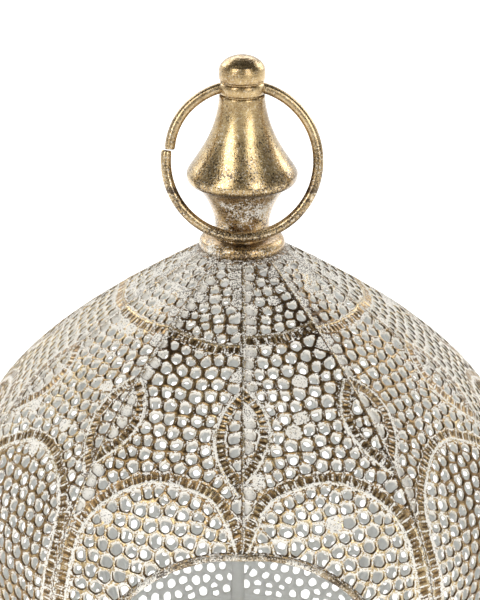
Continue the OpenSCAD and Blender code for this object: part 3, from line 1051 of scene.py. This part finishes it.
def band_mesh(name, bands, i, rng):
    """The bands' ribs and borders, as closed strips that lie on the sheet."""
    skin = Skin()
    quads, caps = [], []
    for order, (path, half, plain) in enumerate(bands):
        # The garland, which comes first, has lost most of its border's wash.
        faded = 0.4 if order == 0 else 0.0
        path = path[np.abs(path[:, 1]) <= half_width(path[:, 0]) + 0.3]
        tangent = np.gradient(path, axis=0)
        tangent /= np.hypot(*tangent.T)[:, None]
        across = np.stack([-tangent[:, 1], tangent[:, 0]], 1) * plain
        length = distance_along(path)

        def uneven(step, size):
            return uneven_along(length, step, size, rng)

        wander = uneven(7, 0.2)
        pitch = rng.uniform(1.9, 2.2)
        phase = length / pitch + uneven(4.3, 0.3) + uneven(1.6, 0.13)
        wave = (0.5 + 0.5 * np.cos(2 * math.pi * phase)) ** 0.75
        tooth = np.floor(phase).astype(int)
        tooth_rise = np.array([rng.uniform(0.35, 1.15) for _ in range(tooth.max() + 2)])[tooth]
        first_point = skin.total
        for u, h, ribs, wash_and_highlight, dark, warm in COMB:
            aside = u * half + wander + uneven(1.3, 0.2) * (abs(u) > 0.4) + uneven(0.9, 0.1)
            spot = path + across * aside[:, None]
            # Each rib's crest is made whiter, a painted highlight, and the gap between teeth dark and
            # browner, painted shade.
            gap = ribs * (1 - wave * (0.5 + 0.5 * tooth_rise))
            wash_and_highlight = wash_and_highlight + ribs * (0.42 * wave * tooth_rise - 0.2) + uneven(2.3, 0.16)
            wash_and_highlight = wash_and_highlight - (u > 0.45) * (faded + uneven(3.7, 0.22))
            dark = dark + 0.85 * np.clip(gap * 1.4 - 0.5, 0, 1)
            rise = h + ribs * (0.32 * wave * tooth_rise - 0.22)
            spot = kept_on(spot, half_width(spot[:, 0]) + 0.05)
            skin.add(spot, rise, wash_and_highlight, dark, warm + 0.3 * gap, 0.6, 0.0)
        for u in (0.9, -0.9):
            spot = path + across * (u * half)
            skin.add(kept_on(spot, half_width(spot[:, 0]) - 0.1), -SHEET_T - 0.12, *INSIDE_LOOK)
        lines = len(COMB) + 2
        strip = first_point + grid_quads(lines, len(path), wrap_rows=True)
        first, last = grid_ends(lines, len(path), first_point)
        turned = plain > 0
        quads.append(strip[:, ::-1] if turned else strip)
        caps += [first[::-1], last] if turned else [first, last[::-1]]
    finish_piece(skin.piece(name, i, quads, caps))


# The order in which a strip's quads take their corners: its lines run onward or backward round the section.
ONWARD, BACKWARD, BACKWARD_FIRST = [0, 1, 2, 3], [3, 2, 1, 0], [0, 3, 2, 1]


def strip_mesh(name, lines, looks, quad_order):
    """A closed strip on the sheet: lines of points side by side round its section, each with its looks."""
    n = len(lines[0])
    quads = grid_quads(len(lines), n, wrap_rows=True)[:, quad_order]
    first, last = grid_ends(len(lines), n)
    caps = [first, last[::-1]] if quad_order == ONWARD else [first[::-1], last]
    attributes = {}
    for key, values in zip(LOOKS, looks):
        attributes[key] = np.concatenate([np.broadcast_to(value, n) for value in values])
    finish_piece(mesh_piece(name, np.concatenate(lines), quads, SHEET, caps, attributes))


def seam_lap(i):
    """The lap where a gore covers its neighbour: a narrow whitened strip outside and a flange inside."""
    rng = np.random.default_rng(900 + i)
    top = S_TOP + 0.5
    bottom = arc_at(WINDOW_R + HEAD_Z + 3.2) if i == 0 else S_END - 0.5
    s = np.arange(top, float(bottom), 0.6)
    low = -half_width(s)
    knots = np.arange(0, bottom + 4, 1.9)
    wander = np.interp(s, knots, rng.uniform(-0.35, 0.45, len(knots)))
    width = np.interp(s, [0, 30, 55, 62, 96, 110, 280], [1.1, 1.5, 1.2, 0.8, 0.75, 0.95, 0.8]) + wander
    width = np.minimum(width, half_width(s) - 0.6)
    lift = np.interp(s, knots, rng.uniform(-0.05, 0.05, len(knots)))
    # The dark line along the lap's outer edge is painted shadow of the lap's step, stronger from about 100 mm
    # below the crown.
    line = np.interp(s, [0, 88, 100, 115], [0.3, 0.35, 0.9, 0.9]) + rng.uniform(-0.15, 0.15, len(s))
    lap = [(low - 0.12, -0.5), (low - 0.10, -0.02 + lift), (low + 0.18, 0.04 + lift),
           (low + width * 0.6, 0.03 + lift), (low + width * 0.9, -0.04 + lift), (low + width, -0.25),
           (low + width * 0.5, -0.6)]
    lap_looks = ([0.1, 0.2, 0.5, 0.6, 0.5, 0.4, 0.5], [line, line, 0.1, 0.0, 0.0, 0.2, 0],
                 [0.8, 0.7, 0.5, 0.4, 0.5, 0.6, 0.4], [1.1] * 6 + [0], [0] * 7)
    reach = np.minimum(5.0, half_width(s) * 0.6)
    flange = [(low - 1.2, -0.98), (low + reach, -1.25), (low + reach, -1.5), (low - 1.2, -1.5)]
    flange_looks = ([0.9] * 4, [0] * 4, [0.3] * 4, [0.3] * 4, [0.2, 0.2, 1, 1])
    for kind, section, looks in (("lap", lap, lap_looks), ("flange", flange, flange_looks)):
        lines = [on_gore(s, w, h, gore_middle(i)) for w, h in section]
        strip_mesh(f"gore_{i + 1:02d}_{kind}", lines, looks, BACKWARD_FIRST)


for number in range(GORES):
    PiercedGore(number).build()
    seam_lap(number)

# ---------------------------------------------------------------- wired edges

FRONT = math.radians(-90)


def window_rim():
    """The wire round the window, a little uneven in thickness."""
    half = window_to_gore(window_outline(0.6, 0.8))
    sides = [on_gore(half[:, 0], sign * half[:, 1], -SHEET_T / 2, FRONT + sign * HALF) for sign in (1, -1)]
    loop = np.vstack([sides[0][1:-1], sides[1][::-1][1:-1]])
    rng = np.random.default_rng(70)
    count = len(loop)
    wave = 0
    for _ in range(7):
        gain = rng.uniform(0.2, 1)
        turns = rng.integers(3, 40)
        wave = wave + gain * np.sin(2 * math.pi * turns * np.arange(count) / count + rng.uniform(0, 6))
    obj = sweep("window_wire", loop, 1.15 + 0.03 * wave, WIRE, 14, closed=True)
    finish_piece(obj, nodes=["window_rim"])


def window_hem(name, sign):
    """Half of the folded strip that grips the wire, outside the opening."""
    rng = np.random.default_rng(81 + sign)
    section = [(-0.1, -0.15), (0.5, 0.2), (1.2, 0.2), (1.8, 0.08), (2.3, -0.14), (2.2, -0.95), (-0.1, -0.95)]
    lines = []
    for margin, h in section:
        outline = window_to_gore(window_outline(margin, 0.8))
        length = distance_along(outline)
        even = np.linspace(0, length[-1], 340)
        s, w = np.interp(even, length, outline[:, 0]), np.interp(even, length, outline[:, 1])
        uneven = uneven_along(even, 1.5, 0.14, rng)
        w = sign * (w + uneven * (margin > 1.5))
        lines.append(on_gore(s, w, h + 0.4 * uneven, FRONT + sign * HALF))
    looks = ([0.3, 0.38, 0.46, 0.46, 0.4, 0.9, 0.9], [0.2, 0.1, 0.0, 0.0, 0.1, 0, 0],
             [0.7, 0.6, 0.55, 0.6, 0.7, 0.3, 0.3], [1.4] * 5 + [0, 0], [0] * 5 + [1, 1])
    strip_mesh(name, lines, looks, ONWARD if sign > 0 else BACKWARD)


window_hem("window_hem_right", 1)
window_hem("window_hem_left", -1)
window_rim()

# ---------------------------------------------------------------- base


def mm_box(node):
    low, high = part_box(node)
    return low * 1000, high * 1000


def brass_piece(name, node, profile, segments, ripple, material=BRASS):
    """A turned piece that takes the place of a CAD node."""
    finish_piece(lathe(name, profile, material, segments, ripple), nodes=[node])


def rolled_hoop():
    _, high = mm_box("base_hoop")
    r, top, middle = high.x, high.z, high.z / 2
    inner = r - 9
    outline = [(inner, 0), (inner, top), (r - 2.6, top), (r - 0.4, top - 1.6), (r - 0.5, middle + 4.2),
               (r - 1.1, middle + 3.6), (r - 1.1, middle - 3.6), (r - 0.5, middle - 4.2), (r - 0.1, 0.8),
               (r - 1.2, 0)]
    brass_piece("hoop_rolled", "base_hoop", rounded(outline, 0.6), 256, Ripple(3, 0.18))


def rope_bead():
    """A two-strand rope soldered round the hoop."""
    _, high = mm_box("base_hoop")
    twists, strand_r, offset = 62, 1.3, 1.15
    a = np.linspace(0, 2 * math.pi, 900, endpoint=False)
    for strand in range(2):
        turn = a * twists + strand * math.pi
        r = high.x + 0.35 + offset * np.cos(turn)
        z = high.z / 2 + offset * np.sin(turn)
        path = np.stack([r * np.cos(a), r * np.sin(a), z], 1)
        obj = sweep(f"hoop_rope_{strand + 1}", path, strand_r, BRASS, 8, closed=True)
        finish_piece(obj, nodes=["base_bead"])


def spun_pan():
    _, high = mm_box("drip_pan")
    r, top = high.x, high.z
    floor_z = mm_box("base_floor")[1].z
    middle_r, thick = 0.5, 0.8
    outline = [(middle_r, floor_z), (r - 3.2, floor_z), (r - 0.6, top - 0.9, 0.3), (r, top - 0.7),
               (r - 0.1, top), (r - 1.3, top), (r - 1.5, top - 0.8, 0.3), (r - 3.6, floor_z + thick),
               (middle_r, floor_z + thick)]
    brass_piece("drip_pan_spun", "drip_pan", rounded(outline, 0.5), 160, Ripple(5, 0.12))


def spun_cup():
    low, high = mm_box("candle_cup")
    rim_r, foot, top = high.x, low.z, high.z
    r = rim_r - 2
    middle_r, thick = 0.5, 0.8
    outline = [(middle_r, foot), (r, foot), (r, top - 2.2), (rim_r - 0.2, top - 0.5), (rim_r - 0.3, top),
               (rim_r - 1.3, top - 0.1), (r - thick, top - 2.3), (r - thick, foot + thick),
               (middle_r, foot + thick)]
    brass_piece("candle_cup_spun", "candle_cup", rounded(outline, 0.45), 144, Ripple(6, 0.1))


rolled_hoop()
rope_bead()
spun_pan()
spun_cup()

# ---------------------------------------------------------------- finial and ring

ROD_HOLE_R = 2.7
NECK_R = 7.9

# The ring's pivot and the ring's size repeat part.scad's.
PIVOT_Z = 304.4
RING_R, WIRE_R = 29.4, 2.1
LEAN = math.radians(13.2)
HALF_SPAN = 8.1


def turned_collar():
    low, high = mm_box("collar_bead")
    bead_r = 3.2
    core, middle = high.x - bead_r, (low.z + high.z) / 2
    turn = np.linspace(-math.pi / 2, math.pi / 2, 22)
    bead = [(core + bead_r * math.cos(a), middle + bead_r * math.sin(a)) for a in turn]
    outline = [(ROD_HOLE_R, low.z)] + bead + [(12.2, high.z + 0.02), (ROD_HOLE_R, high.z)]
    brass_piece("collar_turned", "collar_bead", outline, 192, Ripple(11, 0.3), WASHED)


def crown_solder():
    """The whitened solder in the joint round the collar."""
    inner = 13.5
    outline = [(inner, CROWN_Z), (CROWN_R + 1.2, CROWN_Z - 0.5), (CROWN_R + 1.6, CROWN_Z - 0.25),
               (CROWN_R + 0.5, CROWN_Z + 0.5), (CROWN_R - 0.9, CROWN_Z + 1.05), (inner, CROWN_Z + 1.2)]
    looks = {"wash_and_highlight": 0.5, "dark": 0.12, "warm": 0.85, "speck": 1.3}
    finish_piece(lathe("crown_solder", outline, SHEET, 220, Ripple(21, 0.9, 14), looks))


def turned_foot():
    low, high = mm_box("finial_foot")
    waist, foot, top = 10.3, low.z, high.z
    curve = [[waist + 1.5, foot], [waist - 1, foot + 4], [waist + 0.8, foot + 13], [18.2, top]]
    flare = bezier(curve, np.linspace(0, 1, 36)).tolist()
    outline = [(ROD_HOLE_R, foot)] + flare + [(ROD_HOLE_R, top)]
    brass_piece("foot_turned", "finial_foot", outline, 192, Ripple(12, 0.16), WASHED)


def turned_bell():
    low, high = mm_box("finial_bell")
    r, foot, neck = high.x, low.z, high.z
    rim = foot + 4.1
    bore_r, shoulder = 4.4, 288
    under = bezier([[17.9, foot], [20.6, foot + 0.2], [r, rim - 2.9], [r, rim]], np.linspace(0, 1, 16))
    over = bezier([[r, rim], [r - 0.3, rim + 3.2], [10.2, rim + 13], [8.95, neck]], np.linspace(0, 1, 46))[1:]
    lip = [(8.9, neck + 0.4), (8.7, neck + 0.75), (8.15, neck + 0.85), (8.12, neck)]
    bore = [(bore_r, neck), (bore_r, shoulder), (ROD_HOLE_R, shoulder)]
    outline = [(ROD_HOLE_R, foot)] + under.tolist() + over.tolist() + lip + bore
    brass_piece("bell_turned", "finial_bell", outline, 224, Ripple(13, 0.14))


def neck_band(name, middle):
    """Half of the turned band round the neck; the ring's wire passes between the halves."""
    offsets = [(0.05, -2.7), (0.65, -2.6), (1.05, -1.9), (1.1, 0.2), (1.0, 1.3), (0.6, 1.9), (0.05, 2.0)]
    profile = np.array([NECK_R, PIVOT_Z]) + offsets
    turn = middle + np.radians(np.linspace(-71, 71, 72))[:, None]
    n, m = len(turn), len(profile)
    r, z = profile[:, 0][None], profile[:, 1][None]
    points = np.stack([r * np.cos(turn), r * np.sin(turn), z + 0 * turn], -1).reshape(-1, 3)
    quads = grid_quads(n, m, wrap_cols=True)[:, BACKWARD_FIRST]
    caps = [list(range(m)), [(n - 1) * m + k for k in range(m)][::-1]]
    finish_piece(mesh_piece(name, points, quads, BRASS, caps))


def knob_barrel():
    """The turned barrel between the neck's band and the ball."""
    offsets = [(0, 2.4), (0.6, 2.45), (1.05, 3.1), (1.2, 4.4), (1.18, 5.6), (1.0, 7.0), (0.1, 6.8), (0, 3.1)]
    outline = rounded([(NECK_R + out, PIVOT_Z + up) for out, up in offsets], 0.3)
    finish_piece(lathe("knob_barrel", outline, BRASS, 160))


def lifting_ring():
    """A length of wire bent round, its upper end sprung a little inwards at the butt."""
    gap = math.radians(1.0)
    joint = math.radians(171)
    n = 260
    t = np.linspace(0, 1, n)
    a = joint + gap / 2 + (2 * math.pi - gap) * t
    r = RING_R - 1.15 * np.clip((t - 0.9) / 0.1, 0, 1) ** 1.6
    # Drawn flat, hung from the pivot by its chord through the neck, then leant forward about the pivot.
    rise = RING_R - math.sqrt(RING_R ** 2 - HALF_SPAN ** 2)
    x, up = r * np.cos(a), r * np.sin(a) + rise / 2 - RING_R
    path = np.stack([x, up * math.sin(LEAN), PIVOT_Z + up * math.cos(LEAN)], 1)
    rng = np.random.default_rng(5)
    wave = sum(rng.uniform(0.2, 1) * np.sin(rng.uniform(8, 90) * t + rng.uniform(0, 6)) for _ in range(6))
    ends = np.clip(np.minimum(t, 1 - t) * n / 2.0, 0, 1)
    radius = (WIRE_R - 0.02 + 0.008 * wave) * (0.86 + 0.14 * np.sqrt(ends))
    obj = sweep("ring_bent_wire", path, radius, RING, 28)
    finish_piece(obj, body="ring", nodes=["lifting_ring"])


turned_collar()
crown_solder()
turned_foot()
turned_bell()
knob_barrel()
neck_band("neck_band_front", -math.pi / 2)
neck_band("neck_band_back", math.pi / 2)
lifting_ring()

# The CAD nodes that stay as they are, and what they are made of.
KEPT_NODES = {"finial_knob": BRASS, "base_floor": INNER, "crown_cap": INNER, "rod_washer": ZINC,
              "rod_nut": ZINC, "tie_rod": ZINC, "pan_rivets": ZINC}
for node, material in KEPT_NODES.items():
    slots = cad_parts[node].data.materials
    slots.clear()
    slots.append(material)

# ---------------------------------------------------------------- studio

# Name, place, size and power of each lamp. All of them are aimed at one point of the lantern.
LAMP_AIM = (0, 0, 0.2)
LAMPS = [
    ("key_left", (-0.9, -1.0, 1.15), (0.62, 1.1), 10.5),
    ("key_right", (0.75, -1.15, 1.0), (0.58, 1.1), 8),
    ("back_left", (-1.0, 1.0, 1.1), (0.8, 0.9), 8),
    ("back_right", (1.1, 0.9, 1.0), (0.8, 0.9), 8),
    ("back_top", (0, 1.35, 1.15), (1.2, 0.5), 6),
]


def area_light(name, place, size, power):
    data = bpy.data.lights.new(name, "AREA")
    data.shape = "RECTANGLE"
    data.size, data.size_y = size
    data.energy = power
    light = bpy.data.objects.new(name, data)
    light.location = place
    light.rotation_mode = "QUATERNION"
    light.rotation_quaternion = (Vector(LAMP_AIM) - Vector(place)).to_track_quat("-Z", "Y")
    bpy.context.scene.collection.objects.link(light)


def studio_floor():
    n, reach, level = 40, 6000, -0.02
    line = np.linspace(-reach, reach, n)
    x, y = np.meshgrid(line, line)
    points = np.stack([x.ravel(), y.ravel(), np.full(n * n, level)], 1)
    material, g = new_material("pale_floor")
    shader = g.node("ShaderNodeBsdfPrincipled", {"Base Color": (0.85, 0.85, 0.85, 1), "Roughness": 0.9,
                                                 "Emission Color": (1, 1, 1, 1), "Emission Strength": 0.8})
    out = g.node("ShaderNodeOutputMaterial")
    g.tree.links.new(shader.outputs[0], out.inputs[0])
    mesh_piece("floor", points, grid_quads(n, n), material, smooth=False)


def studio_world():
    """A sky that is pale at the horizon and dark overhead, and brighter behind than in front."""
    world = bpy.data.worlds.new("studio")
    bpy.context.scene.world = world
    world.use_nodes = True
    g = Graph(world.node_tree)
    way = g.node("ShaderNodeTexCoord").outputs["Generated"]
    split = g.node("ShaderNodeSeparateXYZ", {"Vector": way})
    sky = g.ramp(g.scale(split.outputs["Z"], 0.5, 1.0), [(0.5, 0.95), (0.62, 0.8), (0.76, 0.22), (1.0, 0.06)])
    depth = g.ramp(g.scale(split.outputs["Y"], 0.5, 1.0), [(0.0, 0.36), (0.4, 0.5), (0.6, 2.0)])
    back = g.node("ShaderNodeBackground", {"Color": g.mix(1.0, sky, depth, "MULTIPLY"), "Strength": 0.6})
    out = g.node("ShaderNodeOutputWorld")
    g.tree.links.new(back.outputs[0], out.inputs[0])


studio_floor()
studio_world()
for lamp in LAMPS:
    area_light(*lamp)
